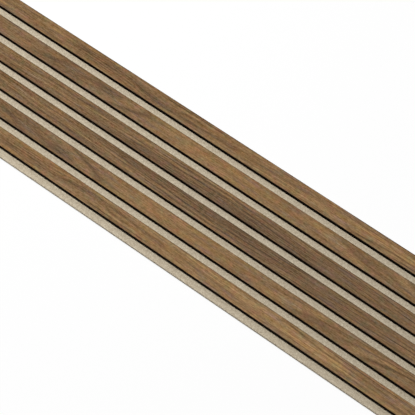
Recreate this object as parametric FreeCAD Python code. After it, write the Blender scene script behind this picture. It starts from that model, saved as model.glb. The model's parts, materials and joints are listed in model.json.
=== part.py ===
"""Acoustic slat wall panel: walnut-faced slats stapled to a board of pressed felt.

Millimetres. The panel lies on its back, as it is stored and unpacked. X runs along the slats,
Y runs across them and Z points out of the slatted face. The origin is the middle of the felt's
back, which is the face that goes against the wall.

Each slat is a black fibreboard core with a walnut veneer on its face. The slats stand one gap
apart. The first slat stands one gap in from the felt's low-Y edge and the last one is flush with
the high-Y edge, so that panels set side by side carry the pattern on.
"""

import FreeCAD
import Part

import math
import os

# Panel
PANEL_LENGTH = 2400.0
SLAT_COUNT = 6
SLAT_WIDTH = 27.0
SLAT_GAP = 13.0

# Layers, from the wall outwards
FELT_THICKNESS = 9.0
CORE_THICKNESS = 11.4
VENEER_THICKNESS = 0.6

# Edges
FELT_EDGE_RADIUS = 0.6
VENEER_ARRIS = 0.2

# Staples: flat steel wire bent to a U, shot in through the felt from the back
STAPLE_CROWN = 10.0
STAPLE_WIRE_WIDTH = 1.2
STAPLE_WIRE_THICKNESS = 0.6
STAPLE_BEND_RADIUS = 0.3
STAPLE_POINT = 1.2
STAPLE_SPACING = 200.0
STAPLE_END_DISTANCE = 60.0
# Core left whole between a staple's points and the veneer
STAPLE_COVER = 4.4

PITCH = SLAT_WIDTH + SLAT_GAP
PANEL_WIDTH = SLAT_COUNT * PITCH
CORE_TOP = FELT_THICKNESS + CORE_THICKNESS
FACE_TOP = CORE_TOP + VENEER_THICKNESS
STAPLE_LEG = CORE_TOP - STAPLE_COVER

# How far two equal lengths may differ when an edge is looked up
NEAR = 1e-6


def slat_side(index):
    """Y of a slat's low side."""
    return -PANEL_WIDTH / 2 + SLAT_GAP + index * PITCH


def slat_middle(index):
    """Y of a slat's centre line."""
    return slat_side(index) + SLAT_WIDTH / 2


def long_bar(y_low, z_low, width, height):
    """A bar that runs the whole length of the panel."""
    corner = FreeCAD.Vector(-PANEL_LENGTH / 2, y_low, z_low)
    return Part.makeBox(PANEL_LENGTH, width, height, corner)


def long_edges(bar, y, z):
    """The edges of a bar that run along X through one point of its section."""
    found = []
    for edge in bar.Edges:
        box = edge.BoundBox
        runs_along = box.XLength > PANEL_LENGTH - NEAR
        if runs_along and abs(box.YMin - y) < NEAR and abs(box.ZMin - z) < NEAR:
            found.append(edge)
    return found


def staple_outline():
    """Closed U outline of one staple: the crown's back on Z 0, the legs pointing up."""
    half = STAPLE_CROWN / 2
    wire = STAPLE_WIRE_THICKNESS
    inner = STAPLE_BEND_RADIUS
    outer = inner + wire
    bend = half - outer
    shoulder = STAPLE_LEG - STAPLE_POINT
    leg_axis = half - wire / 2
    diagonal = math.sqrt(0.5)

    def at(x, z):
        return FreeCAD.Vector(x, 0, z)

    def line(start, end):
        return Part.makeLine(at(*start), at(*end))

    def corner(side, radius):
        start = at(side * bend, outer - radius)
        middle = at(side * (bend + radius * diagonal), outer - radius * diagonal)
        end = at(side * (bend + radius), outer)
        return Part.Arc(start, middle, end).toShape()

    def leg(side):
        return [
            corner(side, outer),
            line((side * half, outer), (side * half, shoulder)),
            line((side * half, shoulder), (side * leg_axis, STAPLE_LEG)),
            line((side * leg_axis, STAPLE_LEG), (side * (half - wire), shoulder)),
            line((side * (half - wire), shoulder), (side * (half - wire), outer)),
            corner(side, inner),
        ]

    crown_back = line((-bend, 0), (bend, 0))
    crown_front = line((-bend, wire), (bend, wire))
    edges = [crown_back] + leg(1) + [crown_front] + leg(-1)
    return Part.Wire(Part.__sortEdges__(edges))


def staple():
    """One staple at the origin, its crown along X."""
    face = Part.Face(staple_outline())
    face.translate(FreeCAD.Vector(0, -STAPLE_WIRE_WIDTH / 2, 0))
    return face.extrude(FreeCAD.Vector(0, STAPLE_WIRE_WIDTH, 0))


def staple_stations():
    """X of each staple along a slat, evenly spaced between its two end staples."""
    reach = PANEL_LENGTH - 2 * STAPLE_END_DISTANCE
    spans = max(1, round(reach / STAPLE_SPACING))
    return [-reach / 2 + reach * i / spans for i in range(spans + 1)]


def staple_row(index):
    """The staples that hold one slat, as one compound."""
    row = []
    for x in staple_stations():
        piece = staple()
        piece.translate(FreeCAD.Vector(x, slat_middle(index), 0))
        row.append(piece)
    return Part.makeCompound(row)


def felt_backing(staples):
    """The backing board: its bare long edge is eased, and the staples lie in its back."""
    low = -PANEL_WIDTH / 2
    board = long_bar(low, 0, PANEL_WIDTH, FELT_THICKNESS)
    board = board.makeFillet(FELT_EDGE_RADIUS, long_edges(board, low, FELT_THICKNESS))
    return board.cut(staples).Solids[0]


def slat_core(index, staples):
    """The black core of a slat, pierced by the points of its staples."""
    core = long_bar(slat_side(index), FELT_THICKNESS, SLAT_WIDTH, CORE_THICKNESS)
    return core.cut(staples).Solids[0]


def slat_veneer(index):
    """The walnut veneer on a slat's face, its long edges sanded off."""
    low = slat_side(index)
    strip = long_bar(low, CORE_TOP, SLAT_WIDTH, VENEER_THICKNESS)
    edges = long_edges(strip, low, FACE_TOP) + long_edges(strip, low + SLAT_WIDTH, FACE_TOP)
    return strip.makeChamfer(VENEER_ARRIS, edges)


def panel_pieces():
    """Every piece of the panel, by name."""
    rows = [staple_row(index) for index in range(SLAT_COUNT)]
    staples = Part.makeCompound([piece for row in rows for piece in row.Solids])
    pieces = {"felt_backing": felt_backing(staples)}
    for index, row in enumerate(rows):
        pieces[f"slat_core_{index + 1}"] = slat_core(index, row)
        pieces[f"slat_veneer_{index + 1}"] = slat_veneer(index)
    pieces["staples"] = staples
    return pieces


def main():
    """Write one file for each piece."""
    os.makedirs("parts", exist_ok=True)
    for name, shape in panel_pieces().items():
        shape.exportStep(f"parts/{name}.step")
        print(f"{name}: {len(shape.Solids)} solids, {shape.Volume / 1000:.2f} cm3")


main()
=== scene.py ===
"""Acoustic slat wall panel: its finishes, its felt, its staples and a plain studio.

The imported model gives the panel's sizes and places, in metres. The finishes work out their
patterns in millimetres, because grain, pores and fibres are easier to judge that way.
"""

from __future__ import annotations

import json
import logging
import math
from collections.abc import Sequence
from dataclasses import dataclass
from enum import Enum
from functools import partial, reduce

import bpy
from mathutils import Matrix, Vector, noise

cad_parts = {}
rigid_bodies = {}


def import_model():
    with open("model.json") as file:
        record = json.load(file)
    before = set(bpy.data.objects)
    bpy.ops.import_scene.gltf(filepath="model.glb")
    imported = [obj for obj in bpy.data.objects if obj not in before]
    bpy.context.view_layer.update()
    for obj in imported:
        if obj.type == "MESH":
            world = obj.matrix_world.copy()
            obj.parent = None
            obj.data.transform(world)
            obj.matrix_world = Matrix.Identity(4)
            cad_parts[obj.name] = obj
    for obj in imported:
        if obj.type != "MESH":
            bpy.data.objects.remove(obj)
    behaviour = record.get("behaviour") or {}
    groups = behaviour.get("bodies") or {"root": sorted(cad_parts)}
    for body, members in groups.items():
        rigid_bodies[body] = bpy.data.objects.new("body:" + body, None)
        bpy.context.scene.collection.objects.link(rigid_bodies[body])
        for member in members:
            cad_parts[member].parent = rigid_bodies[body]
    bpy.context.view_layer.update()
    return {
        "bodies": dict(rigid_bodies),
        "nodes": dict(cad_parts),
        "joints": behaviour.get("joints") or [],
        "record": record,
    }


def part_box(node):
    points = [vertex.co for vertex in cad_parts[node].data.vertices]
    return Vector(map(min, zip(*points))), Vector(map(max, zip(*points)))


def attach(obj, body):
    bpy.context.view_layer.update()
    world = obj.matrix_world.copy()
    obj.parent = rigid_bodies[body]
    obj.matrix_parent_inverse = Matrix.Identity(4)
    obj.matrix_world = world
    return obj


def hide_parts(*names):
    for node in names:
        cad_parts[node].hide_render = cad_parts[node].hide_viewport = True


LOG = logging.getLogger("slat_panel")
BODY = "root"
MM = 0.001
PER_METRE = 1000.0
STAPLE_GAP = 20 * MM
WHITE = (1.0, 1.0, 1.0, 1.0)

Colour = tuple[float, float, float, float]
Socket = bpy.types.NodeSocket
Feed = Socket | float | Sequence[float]
Feeds = dict[str, Feed] | Sequence[Feed]


def paint(red: int, green: int, blue: int) -> Colour:
    """Turn a colour as a screen shows it into the linear one that a shader takes.

    Args:
        red: Red, from 0 to 255.
        green: Green, from 0 to 255.
        blue: Blue, from 0 to 255.

    Returns:
        The linear colour, with an alpha of 1.
    """

    def linear(value: int) -> float:
        """Undo the screen's curve for one channel."""
        share = value / 255
        return share / 12.92 if share <= 0.04045 else ((share + 0.055) / 1.055) ** 2.4

    return (linear(red), linear(green), linear(blue), 1.0)


class Wiring:
    """A node tree, with short ways to add nodes to it and to join them."""

    def __init__(self, tree: bpy.types.NodeTree) -> None:
        """Start with an empty tree.

        Args:
            tree: The tree to fill. Its own nodes are removed.
        """
        self.tree = tree
        tree.nodes.clear()

    def feed(self, socket: Socket, value: Feed) -> None:
        """Join a socket to another one, or set its value.

        Args:
            socket: The socket to feed.
            value: Another node's socket, or plain numbers.
        """
        if isinstance(value, bpy.types.NodeSocket):
            self.tree.links.new(value, socket)
        else:
            socket.default_value = value

    def use(self, kind: str, feeds: Feeds = (), **settings: object) -> Socket:
        """Add one node and feed it.

        Args:
            kind: The node's type, as Blender names it.
            feeds: What goes into its sockets, by their names or in their order.
            settings: Values of the node's own properties.

        Returns:
            Its first output that is in use.
        """
        node = self.tree.nodes.new(kind)
        for name, value in settings.items():
            setattr(node, name, value)
        sockets = node.inputs
        if isinstance(feeds, dict):
            sockets = [next(s for s in sockets if s.name == name and s.enabled) for name in feeds]
            feeds = feeds.values()
        for socket, value in zip(sockets, feeds):
            self.feed(socket, value)
        return next(s for s in node.outputs if s.enabled)

    def math(self, operation: str, *values: Feed) -> Socket:
        """Work out one sum, by Blender's name for it."""
        return self.use("ShaderNodeMath", values, operation=operation)

    def total(self, *values: Feed) -> Feed:
        """Add values up."""
        return reduce(partial(self.math, "ADD"), values)

    def minus(self, value: Feed, less: Feed) -> Socket:
        """Take one value off another."""
        return self.math("SUBTRACT", value, less)

    def times(self, value: Feed, factor: Feed) -> Socket:
        """Multiply a value."""
        return self.math("MULTIPLY", value, factor)

    def over(self, value: Feed, step: Feed) -> Socket:
        """Divide a value, such as a coordinate by the size of a mark."""
        return self.math("DIVIDE", value, step)

    def apart(self, value: Feed, other: Feed) -> Socket:
        """Measure how far apart two values are."""
        return self.math("ABSOLUTE", self.minus(value, other))

    def vector(self, x: Feed, y: Feed, z: Feed) -> Socket:
        """Make a vector of three values."""
        return self.use("ShaderNodeCombineXYZ", {"X": x, "Y": y, "Z": z})

    def split(self, vector: Socket) -> tuple[Socket, Socket, Socket]:
        """Take a vector apart."""
        return tuple(self.use("ShaderNodeSeparateXYZ", {"Vector": vector}).node.outputs)

    def seen(self) -> Socket:
        """Tell the rays that show a backdrop from those that light the panel.

        Returns:
            1 for a ray from the camera, a mirror or glass, and 0 for any other.
        """
        path = self.use("ShaderNodeLightPath").node.outputs
        rays = [path[f"Is {kind} Ray"] for kind in ("Camera", "Glossy", "Transmission")]
        return reduce(partial(self.math, "MAXIMUM"), rays)

    def close(self, kind: str, surface: Socket) -> None:
        """Send a shader to the tree's output node."""
        self.feed(self.tree.nodes.new(kind).inputs["Surface"], surface)


class Finish(Wiring):
    """A material under construction, with its coordinates in millimetres."""

    mid_tone = 80.0
    veil_share = 0.05

    def __init__(self, name: str) -> None:
        """Make the material and read the object's own coordinates.

        Args:
            name: The material's name.
        """
        self.material = bpy.data.materials.new(name)
        self.material.use_nodes = True
        super().__init__(self.material.node_tree)
        place = self.use("ShaderNodeTexCoord").node.outputs["Object"]
        self.x, self.y, self.z = self.split(self.scaled(place, PER_METRE))

    def scaled(self, vector: Feed, factor: Feed) -> Socket:
        """Multiply all of a vector or colour."""
        feeds = {"Vector": vector, "Scale": factor}
        return self.use("ShaderNodeVectorMath", feeds, operation="SCALE")

    def grain(self, x: Feed, y: Feed, z: Feed, detail: float = 2.0) -> Socket:
        """Sample noise around 0.5, with marks about as large as one step of its coordinates."""
        feeds = {"Vector": self.vector(x, y, z), "Scale": 1.0, "Detail": detail}
        return self.use("ShaderNodeTexNoise", feeds)

    def spots(self, length: float, width: float, height: float, detail: float = 2.0) -> Socket:
        """Sample noise whose marks have these sizes along X, Y and Z, in millimetres."""
        axes = zip((self.x, self.y, self.z), (length, width, height))
        return self.grain(*(self.over(axis, size) for axis, size in axes), detail=detail)

    def around(self, value: Socket, weight: float, middle: float = 0.5) -> Socket:
        """Take a value's distance from its middle, times a weight."""
        return self.times(self.minus(value, middle), weight)

    def rise(self, value: Feed, start: float, end: float) -> Socket:
        """Go smoothly from 0 at start to 1 at end."""
        feeds = {"Value": value, "From Min": start, "From Max": end}
        return self.use("ShaderNodeMapRange", feeds, interpolation_type="SMOOTHSTEP", clamp=True)

    def fall(self, value: Feed, start: float, end: float) -> Socket:
        """Go smoothly from 1 at start to 0 at end."""
        return self.minus(1.0, self.rise(value, start, end))

    def ramp(self, factor: Feed, stops: Sequence[tuple[float, Colour]]) -> Socket:
        """Turn a value into a colour.

        Args:
            factor: The value, from 0 to 1.
            stops: Places on that range, each with its colour.

        Returns:
            The socket that holds the colour.
        """
        result = self.use("ShaderNodeValToRGB", {"Fac": factor})
        elements = result.node.color_ramp.elements
        while len(elements) < len(stops):
            elements.new(1.0)
        for element, (position, colour) in zip(elements, stops):
            element.position = position
            element.color = colour
        return result

    def blend(self, factor: Feed, first: Feed, second: Feed) -> Socket:
        """Mix two colours, with none of the second one at a factor of 0."""
        feeds = {"Factor": factor, "A": first, "B": second}
        return self.use("ShaderNodeMix", feeds, data_type="RGBA")

    def tint(self, factor: Feed, colour: Feed, shares: Colour) -> Socket:
        """Multiply a colour's channels by shares of their own, fully at a factor of 1."""
        feeds = {"Factor": factor, "A": colour, "B": shares}
        return self.use("ShaderNodeMix", feeds, data_type="RGBA", blend_type="MULTIPLY")

    def lighten(self, colour: Socket, steps: Feed) -> Socket:
        """Make a mid-toned colour lighter by some steps of lightness, the same in all channels.

        Args:
            colour: The colour.
            steps: Steps of lightness out of 255, negative where it gets darker.

        Returns:
            The changed colour.
        """
        share = self.over(steps, self.mid_tone)
        lit = self.scaled(colour, self.total(1.0, share))
        veil = self.vector(*[self.times(share, self.veil_share)] * 3)
        return self.use("ShaderNodeVectorMath", (lit, veil), operation="ADD")

    def relief(self, height: Feed, depth: float, strength: float) -> Socket:
        """Turn a height into a bump, whose depth is in millimetres at a height of 1."""
        feeds = {"Height": height, "Distance": depth * MM, "Strength": strength}
        return self.use("ShaderNodeBump", feeds)

    def surface(self, **sockets: Feed) -> bpy.types.Material:
        """Add the shader and finish the material.

        Args:
            sockets: Values of the shader's sockets. Underscores stand for spaces.

        Returns:
            The finished material.
        """
        feeds = {name.replace("_", " "): value for name, value in sockets.items()}
        self.close("ShaderNodeOutputMaterial", self.use("ShaderNodeBsdfPrincipled", feeds))
        return self.material


class Recipe(Wiring):
    """A geometry tree with named sizes, which ends in plain faces with one material."""

    def __init__(self, name: str) -> None:
        """Make the tree with its carrier and its finish.

        Args:
            name: The tree's name.
        """
        super().__init__(bpy.data.node_groups.new(name, "GeometryNodeTree"))
        self.tree.interface.new_socket("faces", in_out="OUTPUT", socket_type="NodeSocketGeometry")
        self.carrier = self._input("carrier", "NodeSocketGeometry")
        self.finish = self._input("finish", "NodeSocketMaterial")

    def _input(self, name: str, kind: str) -> Socket:
        """Add a named input and return the socket that gives its value."""
        self.tree.interface.new_socket(name, in_out="INPUT", socket_type=kind)
        return self.tree.nodes.new("NodeGroupInput").outputs[name]

    def sizes(self, *names: str) -> list[Socket]:
        """Add named lengths or shares."""
        return [self._input(name, "NodeSocketFloat") for name in names]

    def counts(self, *names: str) -> list[Socket]:
        """Add named whole numbers."""
        return [self._input(name, "NodeSocketInt") for name in names]

    def half(self, value: Feed, sign: float = 1.0) -> Socket:
        """Half of a value, or minus half of it with a sign of -1."""
        return self.times(value, 0.5 * sign)

    def rounded(self, curve: Socket, radius: Feed, steps: Feed, limited: bool = False) -> Socket:
        """Round a curve's corners with short straight steps, limited where they would meet."""
        feeds = {"Curve": curve, "Radius": radius, "Count": steps, "Limit Radius": limited}
        return self.use("GeometryNodeFilletCurve", feeds, mode="POLY")

    def run_along(self, path: Socket, section: Socket) -> Socket:
        """Run a closed section along a path and close its ends."""
        feeds = {"Curve": path, "Profile Curve": section, "Fill Caps": True}
        return self.use("GeometryNodeCurveToMesh", feeds)

    def end(self, geometry: Socket) -> None:
        """Turn instances into faces, give them the finish and close the tree.

        Args:
            geometry: What the tree has made.
        """
        plain = self.use("GeometryNodeRealizeInstances", {"Geometry": geometry})
        dressed = self.use("GeometryNodeSetMaterial", {"Geometry": plain, "Material": self.finish})
        self.feed(self.tree.nodes.new("NodeGroupOutput").inputs[0], dressed)

    def make(
        self,
        name: str,
        finish: bpy.types.Material,
        values: dict[str, object],
        carrier: bpy.types.Mesh | None = None,
    ) -> bpy.types.Object:
        """Run the tree once and keep its result as a plain mesh.

        Args:
            name: The new piece's name.
            finish: The piece's material.
            values: The tree's sizes and counts, by name. Others may be among them.
            carrier: A mesh that the tree works on, if it needs one.

        Returns:
            The new piece, at the origin.
        """
        piece = bpy.data.objects.new(name, carrier or bpy.data.meshes.new(name))
        bpy.context.scene.collection.objects.link(piece)
        modifier = piece.modifiers.new("recipe", "NODES")
        modifier.node_group = self.tree
        given = {**values, "finish": finish}
        for item in self.tree.interface.items_tree:
            if item.name in given:
                modifier[item.identifier] = given[item.name]
        graph = bpy.context.evaluated_depsgraph_get()
        mesh = bpy.data.meshes.new_from_object(piece.evaluated_get(graph))
        mesh.materials.clear()
        mesh.materials.append(finish)
        piece.modifiers.remove(modifier)
        piece.data = mesh
        return piece


class Figure(Enum):
    """How the growth rings of a veneer leaf meet its face."""

    STRAIGHT = "straight"
    CROWN = "crown"
    WAVY = "wavy"


@dataclass(frozen=True)
class Ring:
    """A dark growth ring. Lengths are in millimetres and depth is in steps of lightness.

    On a straight or wavy leaf, it lies at a distance from the slat's inner side. On a crowned
    leaf, it crosses the slat's middle at a distance along X from the crown. Its bend is how far
    it leans there, or how far it runs out towards the inner side where it starts.
    """

    at: float
    width: float
    depth: float
    start: float
    end: float
    bend: float = 0.0


@dataclass(frozen=True)
class Patch:
    """A soft area that is lighter, or darker where lift is negative."""

    x: float
    aside: float
    reach: float
    spread: float
    lift: float


@dataclass(frozen=True)
class Marks:
    """Soft marks of one kind, such as fibres. Sizes are in millimetres.

    The layer keeps one kind from falling on another. The weight is how strongly they show, in
    steps of lightness where they change the wood's tone.
    """

    length: float
    width: float
    layer: float
    weight: float = 1.0
    detail: float = 2.0


@dataclass(frozen=True)
class Cast:
    """A hue that the wood takes where a noise lies far from its middle.

    The shares are those of its channels. It's full where the noise reaches the end.
    """

    shares: Colour
    end: float
    most: float


@dataclass(frozen=True)
class VeneerLeaf:
    """One leaf of walnut, used for a pair of slats.

    The leaf lies face up on one side of the panel's centre line and turned over on the other, so
    the two slats mirror each other. It starts at the slat's inner side. Lightness runs from 0 to
    255, as a screen shows it. The drift is how much lighter the leaf gets along X, and the near
    lift is how much lighter the turned leaf is. Glow is how golden the wood is round mid-length,
    and grey is how dull it is all over. Each swell pushes the figure aside: it has a middle and
    a reach along X, and a height.
    """

    figure: Figure
    slats: tuple[int, int]
    lightness: float
    rings: tuple[Ring, ...]
    patches: tuple[Patch, ...]
    streaks: float
    bands: float
    seed: float
    swells: tuple[tuple[float, float, float], ...] = ()
    drift: float = 0.0
    near_lift: float = 0.0
    glow: float = 0.0
    grey: float = 0.0


LEAVES = (
    VeneerLeaf(
        figure=Figure.STRAIGHT,
        slats=(3, 4),
        lightness=105.0,
        rings=(
            Ring(14.5, 2.4, 32, -190, 150),
            Ring(21.2, 2.0, 24, -128, 177),
            Ring(28.0, 1.8, 13, -430, -150),
            Ring(15.0, 1.4, 22, -430, -260),
            Ring(22.4, 1.5, 24, -430, -340),
            Ring(28.4, 2.0, 28, 138, 238),
            Ring(23.3, 1.5, 29, 244, 430),
            Ring(18.5, 1.5, 30, 244, 430),
            Ring(13.3, 1.8, 30, 290, 440),
            Ring(28.7, 1.4, 18, 252, 440),
            Ring(18.8, 1.3, -14, -421, -311),
            Ring(7.9, 1.5, 18, -170, 147),
            Ring(5.0, 1.0, 15, -240, 180),
            Ring(26.8, 1.5, 22, 218, 276),
        ),
        patches=(
            Patch(-72, 1.5, 215, 4.4, -12),
            Patch(-380, 14.5, 84, 12, 10),
            Patch(-113, 17, 50, 6, 10),
            Patch(85, 25, 94, 3, 8),
            Patch(170, 8, 175, 16, -13),
            Patch(-231, 15, 38, 3, 14),
            Patch(-94, 11, 32, 1.8, -16),
            Patch(206, 12.5, 20, 2, -11),
            Patch(230, 6.5, 22, 5.5, -9),
            Patch(355, 12.8, 26, 1.8, 9),
            Patch(336, 5.8, 42, 1.6, 9),
        ),
        streaks=0.90,
        bands=1.0,
        seed=34.1,
        drift=13.0,
        grey=0.15,
    ),
    VeneerLeaf(
        figure=Figure.CROWN,
        slats=(2, 5),
        lightness=109.0,
        rings=(
            Ring(-180, 22, 29, -233, -172, bend=41),
            Ring(-245, 20, 16, -336, -232, bend=86),
            Ring(-350, 21, 18, -420, -300, bend=53),
            Ring(-296, 24, 10, -420, -280, bend=73),
            Ring(131, 10, 8, 75, 260, bend=78),
            Ring(155, 18, 22, 172, 258, bend=79),
            Ring(257, 25, 25, 205, 400, bend=92),
            Ring(285, 13, 14, 212, 400, bend=88),
            Ring(318, 19, 32, 312, 440, bend=110),
            Ring(391, 21, 42, 342, 500, bend=94),
        ),
        patches=(
            Patch(-42, 7, 180, 27, 7),
            Patch(191, 16.5, 38, 7.5, 12),
            Patch(-255, 12, 48, 6, 8),
            Patch(-322, 7, 78, 20, -12),
            Patch(-259, 20, 20, 6, -25),
            Patch(275, 19, 30, 11, -8),
            Patch(321, 20, 13, 4, 13),
            Patch(345, 10, 72, 12, 13),
            Patch(-162, 19.5, 16, 4.5, -14),
            Patch(-284, 5, 20, 4.5, 12),
            Patch(246, 8.5, 22, 7, 10),
            Patch(178, 9.2, 22, 2, -10),
            Patch(-40, 24.5, 120, 2, -6),
        ),
        streaks=0.47,
        bands=0.42,
        seed=290.7,
        swells=((0.0, 260.0, -3.0),),
        drift=4.0,
        glow=0.5,
        grey=0.15,
    ),
    VeneerLeaf(
        figure=Figure.WAVY,
        slats=(1, 6),
        lightness=110.6,
        near_lift=7.5,
        rings=(
            Ring(16.4, 4.0, 22, -333, -31),
            Ring(14.9, 4.8, 15, -43, 166),
            Ring(24.9, 1.5, 36, -158, -50),
            Ring(27.2, 1.1, 22, -142, -90),
            Ring(10.2, 2.8, 31, 217, 400, bend=7),
            Ring(4.5, 1.2, 42, 264, 420, bend=4.1),
            Ring(15.8, 1.1, 19, 230, 400, bend=2.4),
            Ring(21.2, 1.1, 15, 225, 400),
            Ring(26.6, 1.1, 24, 180, 400),
            Ring(14.5, 1.7, 19, -340, -155),
            Ring(10.3, 1.6, 25, -321, -190),
            Ring(22.3, 1.6, 34, -306, -273),
            Ring(19.4, 1.2, 14, -96, 103),
        ),
        patches=(
            Patch(268, 17, 34, 8, 9),
            Patch(124, 12, 46, 7, 12),
            Patch(-80, 5.2, 45, 3.1, -16),
            Patch(-10, 5.2, 70, 3, 11),
            Patch(-336, 16.6, 16, 4, -20),
            Patch(-109, 13.5, 50, 2.2, 16),
            Patch(-134, 17, 17, 2.4, -11),
            Patch(-39, 12, 24, 4, 9),
            Patch(-291, 12, 44, 1.7, -20),
            Patch(-238, 7.8, 13, 2, -14),
            Patch(-203, 16.3, 54, 2.3, -7),
            Patch(318, 12.5, 22, 5.5, 22),
            Patch(142, 20.2, 50, 3.6, -16),
        ),
        streaks=0.64,
        bands=0.85,
        seed=240.4,
        swells=((-165.0, 60.0, 7.5), (-60.0, 90.0, 5.5)),
        drift=8.0,
        glow=0.12,
        grey=0.04,
    ),
)


class WalnutVeneer(Finish):
    """Satin walnut: growth rings, fibre streaks, open pores and a sanded arris."""

    tones = (
        (50.0, paint(60, 44, 28)),
        (85.0, paint(101, 77, 50)),
        (104.0, paint(123, 94, 61)),
        (122.0, paint(144, 113, 75)),
        (160.0, paint(187, 152, 103)),
    )
    reddish = Cast((1.14, 0.90, 1.12, 1.0), end=0.75, most=0.60)
    greenish = Cast((0.82, 1.14, 1.12, 1.0), end=0.25, most=0.50)
    golden = Cast((1.14, 1.06, 0.84, 1.0), end=0.75, most=0.85)
    greyish = Cast((0.86, 0.98, 1.45, 1.0), end=0.25, most=0.75)
    pore = paint(44, 28, 14)
    stained = paint(32, 21, 11)

    flutter = Marks(45.0, 7.0, layer=5.0)
    breath = Marks(42.0, 3.0, layer=6.0, weight=0.9)
    zones = Marks(160.0, 6.0, layer=9.0, weight=28.0, detail=1.0)
    bands = Marks(85.0, 2.9, layer=1.0, weight=61.0, detail=1.0)
    streaks = Marks(50.0, 1.3, layer=2.0, weight=30.0)
    mottle = Marks(11.0, 6.0, layer=7.0, weight=9.0)
    fibre = Marks(14.0, 0.45, layer=3.0, weight=78.0, detail=1.0)
    flecks = Marks(4.5, 1.7, layer=10.0, weight=66.0, detail=1.0)
    pores = Marks(4.5, 0.16, layer=4.0, detail=1.0)
    warmth = Marks(12.0, 10.0, layer=12.0)
    richness = Marks(38.0, 6.0, layer=13.0)

    ring_strength = 0.95
    ring_fade = 26.0
    ring_flutter = 2.4
    run_out = 38.0
    waist = 25.0
    splay = 0.026
    calm_side = (9.0, 24.0)
    calm_share = 0.75
    crown_x = -10.0
    crown_lead = 2.0
    least_lead = 0.3
    crown_half = 15.5
    crown_flutter = 26.0
    glow_at = (10.0, 190.0)
    # Painted highlight along the slat's low-Y edge and painted shade along its high-Y edge. The
    # ranges are in millimetres from the edge, and the amount is in steps of lightness.
    near_side = (3.2, 1.0)
    far_side = (2.8, 0.8)
    side_shade = 5.0
    fine_streaks = 80.0
    drift_span = 450.0
    drift_share = 1.65
    pore_range = (0.58, 0.72)
    pore_cover = 0.5
    arris = (0.15, 0.85)
    arris_stain = 0.45
    rub_stain = 0.8
    rub_length = 9.0
    rub_layer = 7.0
    fibre_height = 0.35
    streak_height = 0.25
    pore_depth = 0.8
    roughness = 0.56
    streak_roughness = 0.18
    pore_roughness = 0.25

    def __init__(self, leaf: VeneerLeaf, panel: Panel) -> None:
        """Take the leaf and measure places on its two slats.

        Args:
            leaf: The leaf.
            panel: The panel's sizes.
        """
        super().__init__(f"walnut_{leaf.figure.value}")
        self.leaf = leaf
        self.width = panel.slat_width / MM
        pitch = panel.pitch / MM
        centre_line = panel.centre_line / MM
        from_middle = max(leaf.slats) - len(panel.slat_sides) // 2
        inner = (2 * from_middle - 1) * pitch / 2 - self.width / 2
        self.aside = self.minus(self.apart(self.y, centre_line), inner)
        past_first = self.minus(self.y, panel.slat_sides[0][0] / MM - pitch)
        self.on_slat = self.math("MODULO", past_first, pitch)
        self.near = self.math("LESS_THAN", self.y, centre_line)
        self.flow = self._flow()

    def _sample(self, marks: Marks, across: Socket) -> Socket:
        """Sample marks that run along X and are measured across the slat."""
        place = (self.over(self.x, marks.length), self.over(across, marks.width))
        return self.grain(*place, self.leaf.seed + marks.layer, marks.detail)

    def _shade(self, marks: Marks, across: Socket, share: float = 1.0) -> Socket:
        """Turn marks into steps of lightness."""
        return self.around(self._sample(marks, across), marks.weight * share)

    def _squared(self, value: Socket, middle: float, reach: float) -> Socket:
        """Square a value's distance from a middle, in reaches."""
        share = self.over(self.minus(value, middle), reach)
        return self.times(share, share)

    def _hump(self, squared: Feed, height: float) -> Socket:
        """Make a smooth hump of a squared distance."""
        return self.times(self.math("EXPONENT", self.times(squared, -1.0)), height)

    def _swell(self, middle: float, reach: float, height: float) -> Socket:
        """Make a smooth hump along X."""
        return self._hump(self._squared(self.x, middle, reach), height)

    def _flow(self) -> Socket:
        """Measure from the slat's inner side along the leaf's own swells.

        Returns:
            The distance, in millimetres.
        """
        if self.leaf.figure is Figure.STRAIGHT:
            reach = self.math("SQRT", self.total(self.times(self.x, self.x), self.waist**2))
            return self.total(self.aside, self.times(reach, self.splay), -self.splay * self.waist)
        swells = self.total(*(self._swell(*swell) for swell in self.leaf.swells))
        if self.leaf.figure is Figure.WAVY:
            calm = self.times(self.rise(self.aside, *self.calm_side), self.calm_share)
            swells = self.times(swells, self.minus(1.0, calm))
        return self.total(self.aside, swells)

    def _away(self, flutter: Socket, ring: Ring) -> Socket:
        """Measure how far a ring's line is.

        Args:
            flutter: The noise that keeps the line from being even.
            ring: The ring.

        Returns:
            The distance, in millimetres.
        """
        if self.leaf.figure is Figure.CROWN:
            lead = self.total(self.aside, self.crown_lead)
            lead = self.math("MAXIMUM", lead, self.least_lead)
            curve = self.math("LOGARITHM", self.over(lead, self.crown_half), math.e)
            from_crown = self.total(self.x, -self.crown_x)
            line = self.total(
                self.times(from_crown, math.copysign(1.0, ring.at)),
                self.times(curve, ring.bend),
                self.around(flutter, self.crown_flutter),
            )
            return self.apart(line, abs(ring.at))
        line = self.total(self.flow, self.around(flutter, self.ring_flutter))
        if ring.bend:
            past = self.over(self.minus(self.x, ring.start), -self.run_out)
            line = self.total(line, self.times(self.math("EXPONENT", past), ring.bend))
        return self.apart(line, ring.at)

    def _ring(self, flutter: Socket, ring: Ring) -> Socket:
        """Draw one ring: dark at its line, gone at its width and past its two ends.

        Args:
            flutter: The noise that keeps the line from being even.
            ring: The ring.

        Returns:
            Its steps of lightness.
        """
        line = self.fall(self._away(flutter, ring), 0.0, ring.width)
        along = self.apart(self.x, (ring.start + ring.end) / 2)
        half = (ring.end - ring.start) / 2
        fade = min(self.ring_fade, half / 2)
        shown = self.fall(along, half - fade, half + fade)
        return self.times(self.times(line, shown), -ring.depth)

    def _patch(self, patch: Patch) -> Socket:
        """Draw one soft area.

        Args:
            patch: The area.

        Returns:
            Its steps of lightness.
        """
        along = self._squared(self.x, patch.x, patch.reach)
        across = self._squared(self.aside, patch.aside, patch.spread)
        return self._hump(self.total(along, across), patch.lift)

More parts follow.
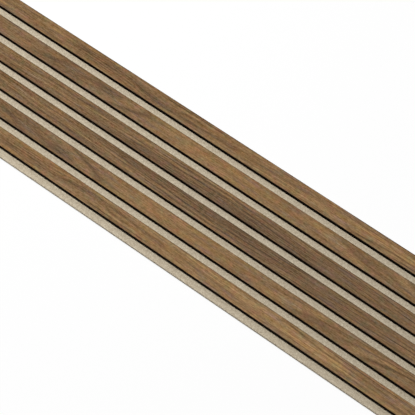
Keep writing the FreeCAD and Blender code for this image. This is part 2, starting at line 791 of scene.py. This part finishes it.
    def _drawn(self) -> Socket:
        """Draw all the rings and soft areas of the leaf.

        Returns:
            Their steps of lightness.
        """
        flutter = self._sample(self.flutter, self.aside)
        strength = self.total(self.ring_strength, self._shade(self.breath, self.aside))
        rings = self.total(*(self._ring(flutter, ring) for ring in self.leaf.rings))
        patches = (self._patch(patch) for patch in self.leaf.patches)
        return self.total(self.times(rings, strength), *patches)

    def _wood(self, streaks: Socket) -> Socket:
        """Colour the wood by its lightness, with a painted highlight and a painted shade along its
        long edges, before its fine marks.

        Args:
            streaks: The noise of the fibre streaks.

        Returns:
            The wood's colour.
        """
        leaf = self.leaf
        far_side = (self.width - place for place in self.far_side)
        lightness = self.total(
            leaf.lightness,
            self._drawn(),
            self._shade(self.zones, self.flow, leaf.bands),
            self._shade(self.bands, self.flow, leaf.bands),
            self.around(streaks, self.streaks.weight * leaf.streaks),
            self._shade(self.mottle, self.aside),
            self.times(self.near, leaf.near_lift),
            # Painted highlight by the slat's low-Y edge, and painted shade by its high-Y edge.
            self.times(self.rise(self.on_slat, *self.near_side), self.side_shade),
            self.times(self.rise(self.on_slat, *far_side), -self.side_shade),
        )
        darkest = self.tones[0][0]
        span = self.tones[-1][0] - darkest
        share = self.over(self.minus(lightness, darkest), span)
        wood = self.ramp(share, [((level - darkest) / span, tone) for level, tone in self.tones])

        warm = self._sample(self.warmth, self.aside)
        rich = self._sample(self.richness, self.aside)
        for field, cast, base in (
            (warm, self.reddish, 0.0),
            (warm, self.greenish, 0.0),
            (rich, self.golden, self._swell(*self.glow_at, leaf.glow)),
            (rich, self.greyish, leaf.grey),
        ):
            amount = self.times(self.rise(field, 0.5, cast.end), cast.most)
            wood = self.tint(self.total(amount, base), wood, cast.shares)
        return wood

    def build(self) -> bpy.types.Material:
        """Build the finish of the leaf.

        Returns:
            The finished material.
        """
        leaf = self.leaf
        streaks = self._sample(self.streaks, self.flow)
        fibre = self._sample(self.fibre, self.flow)
        along = self.rise(self.x, -self.drift_span, self.drift_span)
        fine = self.total(
            self.around(streaks, self.fine_streaks * leaf.streaks),
            self.around(fibre, self.fibre.weight),
            self._shade(self.flecks, self.aside),
            self.around(along, self.drift_share * leaf.drift),
        )
        wood = self.lighten(self._wood(streaks), fine)
        pores = self.rise(self._sample(self.pores, self.flow), *self.pore_range)
        wood = self.blend(self.times(pores, self.pore_cover), wood, self.pore)

        edge = self.math("MINIMUM", self.on_slat, self.minus(self.width, self.on_slat))
        rubs = self.grain(self.over(self.x, self.rub_length), edge, self.rub_layer)
        stain = self.total(self.arris_stain, self.times(rubs, self.rub_stain))
        wood = self.blend(self.times(self.fall(edge, *self.arris), stain), wood, self.stained)
        height = self.total(
            self.times(fibre, self.fibre_height),
            self.times(streaks, self.streak_height),
            self.times(pores, -self.pore_depth),
        )
        return self.surface(
            Base_Color=wood,
            Roughness=self.total(
                self.roughness,
                self.around(streaks, self.streak_roughness),
                self.times(pores, self.pore_roughness),
            ),
            Specular_IOR_Level=0.10,
            Normal=self.relief(height, depth=0.10, strength=0.5),
        )


@dataclass(frozen=True)
class PressedFelt:
    """Beige felt: short fibres pressed together in every direction."""

    tones = (
        (0.00, paint(175, 160, 136)),
        (0.35, paint(199, 185, 161)),
        (0.60, paint(213, 200, 175)),
        (1.00, paint(232, 221, 198)),
    )
    directions = (12.0, 71.0, 133.0)
    fibre_length = 5.0
    fibre_width = 0.30
    fibre_range = (0.42, 0.70)
    layer_step = 7.0
    usual_tone = 0.42
    usual_share = 0.35
    contrast = 1.25
    clump_size = (3.2, 2.6, 2.6)
    clump_contrast = 0.9
    clump_height = 0.8

    def _layer(self, finish: Finish, number: int, angle: float) -> Socket:
        """Lay fibres in one direction.

        Args:
            finish: The material in the making.
            number: The layer's number, from 0.
            angle: The direction, in degrees from X.

        Returns:
            1 on a fibre and 0 beside it.
        """
        cos, sin = math.cos(math.radians(angle)), math.sin(math.radians(angle))
        along = finish.total(finish.times(finish.x, cos), finish.times(finish.y, sin))
        aside = finish.minus(finish.times(finish.y, cos), finish.times(finish.x, sin))
        fibres = finish.grain(
            finish.over(along, self.fibre_length),
            finish.over(aside, self.fibre_width),
            finish.total(finish.over(finish.z, self.fibre_width), number * self.layer_step),
            detail=1.0,
        )
        return finish.rise(fibres, *self.fibre_range)

    def build(self) -> bpy.types.Material:
        """Build the felt.

        Returns:
            The finished material.
        """
        finish = Finish("pressed_felt")
        layers = [self._layer(finish, *layer) for layer in enumerate(self.directions)]
        fibres = finish.times(finish.total(*layers), 1 / len(layers))
        clumps = finish.spots(*self.clump_size, detail=3.0)
        lit = finish.around(fibres, self.contrast, self.usual_share)
        shade = finish.total(self.usual_tone, lit, finish.around(clumps, self.clump_contrast))
        height = finish.total(fibres, finish.around(clumps, self.clump_height))
        return finish.surface(
            Base_Color=finish.ramp(shade, self.tones),
            Roughness=0.96,
            Specular_IOR_Level=0.12,
            Sheen_Weight=0.12,
            Sheen_Roughness=0.6,
            Normal=finish.relief(height, depth=0.35, strength=0.6),
        )


@dataclass(frozen=True)
class BlackBoard:
    """Black dyed fibreboard: milled along the slat, sawn and paler at its ends."""

    end_at: float
    milled = paint(12, 8, 5)
    fleck = paint(33, 25, 18)
    sawn = paint(47, 41, 35)
    speck_size = (0.9, 0.5, 0.5)
    line_size = (60.0, 0.3, 0.3)
    fleck_range = (0.52, 0.70)
    line_range = (0.5, 0.75)
    line_cover = 0.35
    line_height = 0.5
    dust_range = (0.35, 0.62)
    dust_cover = 0.8
    cut_depth = (0.2, 0.05)

    def build(self) -> bpy.types.Material:
        """Build the fibreboard.

        Returns:
            The finished material.
        """
        finish = Finish("black_fibreboard")
        specks = finish.spots(*self.speck_size, detail=3.0)
        lines = finish.spots(*self.line_size)
        board = finish.blend(finish.rise(specks, *self.fleck_range), self.milled, self.fleck)
        milled = finish.times(finish.rise(lines, *self.line_range), self.line_cover)
        board = finish.blend(milled, board, self.fleck)
        cut = (self.end_at - depth for depth in self.cut_depth)
        end = finish.rise(finish.math("ABSOLUTE", finish.x), *cut)
        dusty = finish.blend(finish.rise(specks, *self.dust_range), self.milled, self.sawn)
        height = finish.total(specks, finish.times(lines, self.line_height))
        return finish.surface(
            Base_Color=finish.blend(finish.times(end, self.dust_cover), board, dusty),
            Roughness=finish.total(0.92, finish.around(specks, 0.2)),
            Specular_IOR_Level=0.02,
            Normal=finish.relief(height, depth=0.10, strength=0.5),
        )


@dataclass(frozen=True)
class StapleSteel:
    """Zinc-plated wire: drawn lines along it, and a faint bloom."""

    bright = paint(206, 206, 202)
    dull = paint(158, 157, 152)
    line_size = (3.0, 0.06, 3.0)
    bloom_size = (0.8, 0.8, 0.8)
    bloom_range = (0.35, 0.7)

    def build(self) -> bpy.types.Material:
        """Build the steel.

        Returns:
            The finished material.
        """
        finish = Finish("zinc_plated_wire")
        drawn = finish.spots(*self.line_size)
        bloom = finish.spots(*self.bloom_size, detail=3.0)
        cloudy = finish.rise(bloom, *self.bloom_range)
        return finish.surface(
            Base_Color=finish.blend(cloudy, self.bright, self.dull),
            Metallic=1.0,
            Roughness=finish.total(0.32, finish.around(drawn, 0.25), finish.around(bloom, 0.2)),
            Normal=finish.relief(drawn, depth=0.02, strength=0.4),
        )


@dataclass(frozen=True)
class Panel:
    """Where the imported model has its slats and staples, in metres."""

    low: Vector
    high: Vector
    felt_top: float
    core_top: float
    slat_sides: tuple[tuple[float, float], ...]
    staple_places: tuple[float, ...]
    staple_box: tuple[Vector, Vector]

    @classmethod
    def read(cls, frame: dict) -> Panel:
        """Read the sizes that the finishes and added pieces follow.


        Returns:
            The panel's sizes.
        """
        veneers = sorted(name for name in frame["nodes"] if name.startswith("slat_veneer"))
        boxes = [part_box(name) for name in veneers]
        felt_low, felt_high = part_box("felt_backing")
        wires = frame["nodes"]["staples"].data.vertices
        crowns = sorted(vertex.co.x for vertex in wires)
        places: list[list[float]] = [[crowns[0]]]
        for x in crowns[1:]:
            if x - places[-1][-1] > STAPLE_GAP:
                places.append([])
            places[-1].append(x)
        return cls(
            low=felt_low,
            high=Vector((felt_high.x, felt_high.y, boxes[0][1].z)),
            felt_top=felt_high.z,
            core_top=boxes[0][0].z,
            slat_sides=tuple((low.y, high.y) for low, high in boxes),
            staple_places=tuple((group[0] + group[-1]) / 2 for group in places),
            staple_box=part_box("staples"),
        )

    @property
    def length(self) -> float:
        """Length along the slats."""
        return self.high.x - self.low.x

    @property
    def slat_width(self) -> float:
        """Width of one slat."""
        return self.slat_sides[0][1] - self.slat_sides[0][0]

    @property
    def pitch(self) -> float:
        """Distance from one slat to the next."""
        return self.slat_sides[1][0] - self.slat_sides[0][0]

    @property
    def slat_middles(self) -> tuple[float, ...]:
        """Centre line of each slat."""
        return tuple((low + high) / 2 for low, high in self.slat_sides)

    @property
    def centre_line(self) -> float:
        """Middle of the slats, where the veneers mirror each other."""
        return (self.slat_sides[0][0] + self.slat_sides[-1][1]) / 2


def hand_over(piece: bpy.types.Object, slot: str, *nodes: str) -> None:
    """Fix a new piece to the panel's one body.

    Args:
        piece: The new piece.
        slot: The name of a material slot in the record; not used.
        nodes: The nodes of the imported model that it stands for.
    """
    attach(piece, BODY)
    if nodes:
        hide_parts(*nodes)
    count = len(piece.data.polygons)
    LOG.info("%s: %d faces, stands for %s", piece.name, count, nodes or "nothing")


def mesh_piece(
    name: str, points: Sequence[Vector], faces: Sequence[Sequence[int]], finish: bpy.types.Material
) -> bpy.types.Object:
    """Make an object of points and faces, at the origin.

    Args:
        name: The piece's name.
        points: Its points.
        faces: Its faces, as the numbers of their points.
        finish: Its material.

    Returns:
        The new piece.
    """
    mesh = bpy.data.meshes.new(name)
    mesh.from_pydata(points, [], faces)
    mesh.materials.append(finish)
    piece = bpy.data.objects.new(name, mesh)
    bpy.context.scene.collection.objects.link(piece)
    return piece


@dataclass
class SlatFaces:
    """The walnut veneers, one on each slat, with softly sanded long edges."""

    panel: Panel
    arris: float = 0.25 * MM
    arris_steps: int = 3

    def recipe(self) -> Recipe:
        """Build the tree of one veneer: a section with two rounded corners, run along X.

        Returns:
            The tree.
        """
        tree = Recipe("veneer_strip")
        length, width, thickness = tree.sizes("length", "width", "thickness")
        arris, middle, height = tree.sizes("arris", "middle", "height")
        (steps,) = tree.counts("arris_steps")
        outline = tree.use(
            "GeometryNodeCurvePrimitiveQuadrilateral", {"Width": width, "Height": thickness}
        )
        _, up, _ = tree.split(tree.use("GeometryNodeInputPosition"))
        section = tree.rounded(outline, tree.times(tree.math("LESS_THAN", up, 0.0), arris), steps)
        start, end = (tree.vector(tree.half(length, sign), middle, height) for sign in (-1.0, 1.0))
        path = tree.use("GeometryNodeCurvePrimitiveLine", {"Start": start, "End": end})
        tree.end(tree.run_along(path, section))
        return tree

    def build(self, finishes: dict[int, bpy.types.Material]) -> None:
        """Make each veneer in the place of its node.

        Args:
            finishes: The walnut of each slat, by the slat's number.
        """
        tree = self.recipe()
        panel = self.panel
        for number, middle in enumerate(panel.slat_middles, start=1):
            values = {
                **vars(self),
                "length": panel.length,
                "width": panel.slat_width,
                "thickness": panel.high.z - panel.core_top,
                "middle": middle,
                "height": (panel.high.z + panel.core_top) / 2,
            }
            face = tree.make(f"walnut_face_{number}", finishes[number], values)
            hand_over(face, "walnut_veneer", f"slat_veneer_{number}")


@dataclass
class SlatCores:
    """The black fibreboard cores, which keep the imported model's own shape."""

    frame: dict

    def dress(self, finish: bpy.types.Material) -> None:
        """Give every core its finish.

        Args:
            finish: The black fibreboard.
        """
        for name, node in self.frame["nodes"].items():
            if name.startswith("slat_core"):
                node.data.materials.clear()
                node.data.materials.append(finish)
                LOG.info("%s: dressed", name)


@dataclass
class Staples:
    """Flat wire staples, driven in from the back until their crowns are flush."""

    panel: Panel
    wire_width: float = 1.2 * MM
    wire_thickness: float = 0.6 * MM
    wire_corner: float = 0.15 * MM
    bend: float = 0.6 * MM
    bend_steps: int = 4
    point: float = 1.2 * MM
    point_share: float = 0.25
    line_points: int = 6

    def recipe(self) -> Recipe:
        """Build the tree: one staple in the XY plane, stood up and set out on a grid.

        The points of the staple's line are two tips, two shoulders and two corners.

        Returns:
            The tree.
        """
        tree = Recipe("staple_grid")
        crown, leg, point, point_share = tree.sizes("crown", "leg", "point", "point_share")
        wide, thick, corner = tree.sizes("wire_width", "wire_thickness", "wire_corner")
        bend, reach, spread, aside = tree.sizes("bend", "reach", "spread", "aside")
        along, across, steps = tree.counts("along", "across", "bend_steps")

        from_middle = tree.minus(tree.use("GeometryNodeInputIndex"), (self.line_points - 1) / 2)
        distance = tree.math("ABSOLUTE", from_middle)
        side = tree.times(tree.math("SIGN", from_middle), tree.half(tree.minus(crown, thick)))
        is_tip = tree.math("GREATER_THAN", distance, 2.0)
        is_leg = tree.math("GREATER_THAN", distance, 1.0)
        rise = tree.total(tree.times(is_leg, tree.minus(leg, point)), tree.times(is_tip, point))
        points = tree.use("GeometryNodeMeshLine", {"Count": self.line_points})
        bent = tree.use(
            "GeometryNodeSetPosition",
            {"Geometry": points, "Position": tree.vector(side, rise, 0.0)},
        )
        line = tree.use("GeometryNodeMeshToCurve", {"Mesh": bent})
        taper = tree.minus(1.0, tree.times(is_tip, tree.minus(1.0, point_share)))
        tapered = tree.use("GeometryNodeSetCurveRadius", {"Curve": line, "Radius": taper})
        outline = tree.use(
            "GeometryNodeCurvePrimitiveQuadrilateral", {"Width": thick, "Height": wide}
        )
        path = tree.rounded(tapered, bend, steps, limited=True)
        upright = tree.use(
            "GeometryNodeTransform",
            {
                "Geometry": tree.run_along(path, tree.rounded(outline, corner, 1)),
                "Rotation": (math.pi / 2, 0.0, 0.0),
                "Translation": tree.vector(0.0, aside, tree.half(thick)),
            },
        )
        grid = tree.use(
            "GeometryNodeMeshGrid",
            {"Size X": reach, "Size Y": spread, "Vertices X": along, "Vertices Y": across},
        )
        tree.end(tree.use("GeometryNodeInstanceOnPoints", {"Points": grid, "Instance": upright}))
        return tree

    def build(self, finish: bpy.types.Material) -> None:
        """Make all the staples as one piece.

        Args:
            finish: The steel.
        """
        panel = self.panel
        low, high = panel.staple_box
        places = panel.staple_places
        middles = panel.slat_middles
        reach = places[-1] - places[0]
        values = {
            **vars(self),
            "crown": high.x - low.x - reach,
            "leg": high.z - low.z - self.wire_thickness / 2,
            "reach": reach,
            "spread": middles[-1] - middles[0],
            "aside": panel.centre_line,
            "along": len(places),
            "across": len(middles),
        }
        staples = self.recipe().make("wire_staples", finish, values)
        hand_over(staples, "staple_steel", "staples")


@dataclass
class FeltBacking:
    """The felt board: it swells a little in the gaps and dips round every staple."""

    panel: Panel
    span: float = 7.0 * MM
    edge_radius: float = 0.8 * MM
    edge_steps: int = 4
    swell: float = 0.30 * MM
    swell_power: float = 0.7
    ripple: float = 0.10 * MM
    top_waves: tuple[float, float] = (23 * MM, 5 * MM)
    back_waves: tuple[float, float] = (30 * MM, 22 * MM)
    cut_ripple: float = 0.18 * MM
    cut_wave: float = 6 * MM
    dip: float = 0.45 * MM
    dip_radius: float = 3.2 * MM
    under_slat: float = 0.02 * MM
    crown_half: float = 4.4 * MM
    sharp_angle: float = math.radians(40)
    near_staple: tuple[float, ...] = (-9.0, -7.0, -5.6, -4.4, -2.0, 2.0, 4.4, 5.6, 7.0, 9.0)
    beside_staple: tuple[float, ...] = (-6.0, -4.0, -2.6, -1.2, 0.0, 1.2, 2.6, 4.0, 6.0)
    across_gap: tuple[float, ...] = (0.0, 0.04, 0.14, 0.32, 0.5, 0.68, 0.86, 0.96, 1.0)

    def _stations(self) -> list[float]:
        """Find where the section is repeated, closer together at the staples.

        Returns:
            Places along X.
        """
        panel = self.panel
        spans = round(panel.length / self.span)
        even = [panel.low.x + panel.length * i / spans for i in range(spans + 1)]
        extra = [x + step * MM for x in panel.staple_places for step in self.near_staple]
        reach = abs(self.near_staple[0]) * MM + MM
        kept = [x for x in even if all(abs(x - place) > reach for place in panel.staple_places)]
        return sorted(kept + extra)

    def _gaps(self) -> list[tuple[float, float]]:
        """Find the bare strips of felt.

        Returns:
            The low and high side of each.
        """
        panel = self.panel
        starts = [panel.low.y] + [high for _, high in panel.slat_sides[:-1]]
        return list(zip(starts, [low for low, _ in panel.slat_sides]))

    def _top_line(self) -> list[tuple[float, float]]:
        """Set out points across the top.

        Returns:
            Each point's place, with how much the felt swells there.
        """
        line = []
        for low, high in self._gaps():
            for share in self.across_gap:
                inside = 0.0 < share < 1.0
                bulge = math.sin(math.pi * share) ** self.swell_power if inside else 0.0
                line.append((low + (high - low) * share, bulge))
        line.append((self.panel.high.y, 0.0))
        return line

    def _bottom_line(self) -> list[float]:
        """Set out points across the back, closer together at the staples.

        Returns:
            Their places.
        """
        middles = self.panel.slat_middles
        line = [middle + step * MM for middle in middles for step in self.beside_staple]
        return sorted(line + [(low + high) / 2 for low, high in self._gaps()])

    def _dip_at(self, x: float, y: float) -> float:
        """Work out the dimple that the nearest staple pulls into the back.

        Args:
            x: Place along the slats.
            y: Place across them.

        Returns:
            The dimple's depth there.
        """
        place = min(self.panel.staple_places, key=lambda station: abs(station - x))
        middle = min(self.panel.slat_middles, key=lambda line: abs(line - y))
        along = max(0.0, abs(x - place) - self.crown_half)
        distance = math.hypot(along, y - middle)
        return self.dip * math.exp(-((distance / self.dip_radius) ** 2))

    def _section(self, x: float) -> list[Vector]:
        """Draw one closed section of the board, from the bare edge over the top.

        Args:
            x: Place along the slats.

        Returns:
            The section's points.
        """
        panel = self.panel
        radius = self.edge_radius
        shake = 0.5 + 0.5 * noise.noise(Vector((x / self.cut_wave, 0.0, 3.0)))
        edge = panel.low.y + self.cut_ripple * shake
        outline = []
        for i in reversed(range(self.edge_steps + 1)):
            turn = math.pi / 2 * i / self.edge_steps
            down = radius * (1 - math.cos(turn))
            outline.append((edge + radius * (1 - math.sin(turn)), panel.felt_top - down))
        length, width = self.top_waves
        for y, bulge in self._top_line()[1:]:
            wave = noise.noise(Vector((x / length, y / width, 0.0)))
            lift = bulge * (self.swell + self.ripple * wave)
            outline.append((y, panel.felt_top - self.under_slat * (bulge == 0.0) + lift))
        outline.append((panel.high.y, radius / 2))
        outline.append((panel.high.y - radius / 2, 0.0))
        length, width = self.back_waves
        for y in reversed(self._bottom_line()):
            wave = 0.5 + 0.5 * noise.noise(Vector((x / length, y / width, 9.0)))
            outline.append((y, self._dip_at(x, y) + self.ripple * wave))
        outline.append((edge + radius / 2, 0.0))
        outline.append((edge, radius / 2))
        return [Vector((x, y, z)) for y, z in outline]

    def build(self, finish: bpy.types.Material) -> None:
        """Make the board.

        Args:
            finish: The felt.
        """
        sections = [self._section(x) for x in self._stations()]
        size = len(sections[0])
        last = (len(sections) - 1) * size
        points = [point for section in sections for point in section]
        faces: list[tuple[int, ...]] = []
        for here in range(0, last, size):
            there = here + size
            for i in range(size):
                after = (i + 1) % size
                faces.append((here + i, there + i, there + after, here + after))
        faces.append(tuple(range(size)))
        faces.append(tuple(last + i for i in reversed(range(size))))
        board = mesh_piece("felt_board", points, faces, finish)
        board.data.polygons.foreach_set("use_smooth", [True] * len(faces))
        board.data.set_sharp_from_angle(angle=self.sharp_angle)
        hand_over(board, "felt", "felt_backing")


@dataclass
class LooseFibres:
    """Short fibres that stand off the bare felt and its cut edge."""

    panel: Panel
    per_square_metre: float = 42000.0
    length: float = 3.2 * MM
    thickness: float = 0.055 * MM
    arch: float = 0.45 * MM
    bows: int = 3
    sides: int = 3
    lean: float = 0.25
    tip_share: float = 0.25
    scales: tuple[float, float] = (0.45, 1.25)
    margin: float = 2.2 * MM
    seed: int = 12

    def recipe(self) -> Recipe:
        """Build the tree: arched spindles scattered over the carrier's faces.

        Returns:
            The tree.
        """
        tree = Recipe("loose_fibres")
        density, length, thickness = tree.sizes("per_square_metre", "length", "thickness")
        arch, lean = tree.sizes("arch", "lean")
        (seed,) = tree.counts("seed")
        half = tree.half(length)
        line = tree.use(
            "GeometryNodeCurveQuadraticBezier",
            {
                "Resolution": self.bows,
                "Start": tree.vector(tree.times(half, -1.0), 0.0, 0.0),
                "Middle": tree.vector(0.0, tree.half(half), tree.times(arch, 2.0)),
                "End": tree.vector(half, 0.0, 0.0),
            },
        )
        share = tree.use("GeometryNodeSplineParameter")
        belly = tree.math("SINE", tree.times(share, math.pi))
        taper = tree.total(tree.times(belly, 1.0 - self.tip_share), self.tip_share)
        tapered = tree.use("GeometryNodeSetCurveRadius", {"Curve": line, "Radius": taper})
        section = tree.use(
            "GeometryNodeCurvePrimitiveCircle",
            {"Resolution": self.sides, "Radius": tree.half(thickness)},
        )
        scatter = tree.use(
            "GeometryNodeDistributePointsOnFaces",
            {"Mesh": tree.carrier, "Density": density, "Seed": seed},
        )
        back = tree.times(lean, -1.0)
        turned = tree.use(
            "FunctionNodeRandomValue",
            {
                "Min": tree.vector(back, back, -math.pi),
                "Max": tree.vector(lean, lean, math.pi),
                "Seed": seed,
            },
            data_type="FLOAT_VECTOR",
        )
        facing = tree.use(
            "FunctionNodeRotateRotation",
            {"Rotation": scatter.node.outputs["Rotation"], "Rotate By": turned},
            rotation_space="LOCAL",
        )
        least, most = self.scales
        size = tree.use("FunctionNodeRandomValue", {"Min": least, "Max": most, "Seed": seed})
        fibres = tree.use(
            "GeometryNodeInstanceOnPoints",
            {
                "Points": scatter,
                "Instance": tree.run_along(tapered, section),
                "Rotation": facing,
                "Scale": size,
            },
        )
        tree.end(fibres)
        return tree

    def _carrier(self) -> bpy.types.Mesh:
        """Make faces on the bare felt and its cut edge, to scatter fibres on.

        Returns:
            The faces, as a mesh.
        """
        panel = self.panel
        top = panel.felt_top
        low = panel.low + Vector((self.margin, 0.0, self.margin))
        high = panel.high - Vector((self.margin, 0.0, 0.0))
        starts = [low.y] + [side for _, side in panel.slat_sides[:-1]]
        strips = [((start, top), (end, top)) for start, (end, _) in zip(starts, panel.slat_sides)]
        strips.append(((low.y, low.z), (low.y, top)))
        points = []
        for first, second in strips:
            points += [(low.x, *first), (high.x, *first), (high.x, *second), (low.x, *second)]
        faces = [tuple(range(i, i + 4)) for i in range(0, len(points), 4)]
        mesh = bpy.data.meshes.new("fibre_carrier")
        mesh.from_pydata(points, [], faces)
        return mesh

    def build(self, finish: bpy.types.Material) -> None:
        """Make the fibres.

        Args:
            finish: The felt.
        """
        fibres = self.recipe().make("felt_fibres", finish, vars(self), self._carrier())
        hand_over(fibres, "felt")


@dataclass(frozen=True)
class Lamp:
    """A round lamp that faces the panel's middle. Its power is in watts."""

    name: str
    place: tuple[float, float, float]
    width: float
    power: float


@dataclass
class Studio:
    """A white floor, a small lamp, a wide soft lamp, and the photograph's view.

    The small lamp hangs over the panel's low end and the soft lamp beyond its high-Y edge.
    """

    panel: Panel
    camera_place: tuple[float, float, float] = (0.5166, -0.5386, 2.0984)
    camera_aim: tuple[float, float, float] = (0.0, -0.0009, 0.0210)
    camera_roll: float = -8.567
    lens: float = 120.58
    sensor: float = 36.0
    clip: tuple[float, float] = (0.01, 100.0)
    lamps: tuple[Lamp, ...] = (
        Lamp("lamp", (-1.2, 0.2, 2.9), 0.12, 83.0),
        Lamp("soft_lamp", (-0.5, 1.4, 2.7), 1.1, 15.0),
    )
    sky: float = 0.055
    floor_colour: Colour = paint(250, 250, 250)
    floor_size: float = 14.0
    floor_drop: float = 0.4 * MM
    floor_glow_share: float = 0.9

    def camera(self) -> None:
        """Put the camera where the photograph was taken from."""
        place = Vector(self.camera_place)
        forward = (Vector(self.camera_aim) - place).normalized()
        level = forward.cross(Vector((0.0, 0.0, 1.0))).normalized()
        above = level.cross(forward)
        roll = math.radians(self.camera_roll)
        right = level * math.cos(roll) + above * math.sin(roll)
        up = above * math.cos(roll) - level * math.sin(roll)
        data = bpy.data.cameras.new("camera")
        data.lens = self.lens
        data.sensor_width = self.sensor
        data.clip_start, data.clip_end = self.clip
        camera = bpy.data.objects.new("camera", data)
        bpy.context.scene.collection.objects.link(camera)
        turn = Matrix((right, up, -forward)).transposed()
        camera.matrix_world = Matrix.Translation(place) @ turn.to_4x4()
        bpy.context.scene.camera = camera

    def lights(self) -> None:
        """Set up the lamps and an even white sky."""
        for lamp in self.lamps:
            data = bpy.data.lights.new(lamp.name, "AREA")
            data.shape = "DISK"
            data.size = lamp.width
            data.energy = lamp.power
            light = bpy.data.objects.new(lamp.name, data)
            bpy.context.scene.collection.objects.link(light)
            light.location = lamp.place
            light.rotation_euler = Vector(lamp.place).to_track_quat("Z", "Y").to_euler()
        world = bpy.data.worlds.new("white_room")
        world.use_nodes = True
        bpy.context.scene.world = world
        wiring = Wiring(world.node_tree)
        level = wiring.total(wiring.times(wiring.seen(), 1.0 - self.sky), self.sky)
        sky = wiring.use("ShaderNodeBackground", {"Color": WHITE, "Strength": level})
        wiring.close("ShaderNodeOutputWorld", sky)

    def floor(self) -> None:
        """Lay a floor that looks white and still shows the panel's shadow."""
        finish = Finish("white_floor")
        share = finish.times(finish.seen(), self.floor_glow_share)
        matt = finish.use("ShaderNodeBsdfDiffuse", {"Color": self.floor_colour})
        glow = finish.use("ShaderNodeEmission", {"Color": WHITE, "Strength": 1.0})
        mixed = finish.use("ShaderNodeMixShader", (share, matt, glow))
        finish.close("ShaderNodeOutputMaterial", mixed)
        half = self.floor_size / 2
        signs = ((-1, -1), (1, -1), (1, 1), (-1, 1))
        points = [Vector((x * half, y * half, -self.floor_drop)) for x, y in signs]
        floor = mesh_piece("floor", points, [(0, 1, 2, 3)], finish.material)

    def build(self) -> None:
        """Set up the whole studio."""
        bpy.context.scene.view_settings.view_transform = "Standard"
        self.camera()
        self.lights()
        self.floor()


def main() -> None:
    """Build the panel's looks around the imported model."""
    logging.basicConfig(level=logging.INFO, format="%(name)s: %(message)s")
    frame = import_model()
    panel = Panel.read(frame)

    walnut: dict[int, bpy.types.Material] = {}
    for leaf in LEAVES:
        walnut |= dict.fromkeys(leaf.slats, WalnutVeneer(leaf, panel).build())
    felt = PressedFelt().build()

    SlatFaces(panel).build(walnut)
    SlatCores(frame).dress(BlackBoard(end_at=panel.high.x / MM).build())
    FeltBacking(panel).build(felt)
    LooseFibres(panel).build(felt)
    Staples(panel).build(StapleSteel().build())
    Studio(panel).build()


if __name__ == "__main__":
    main()
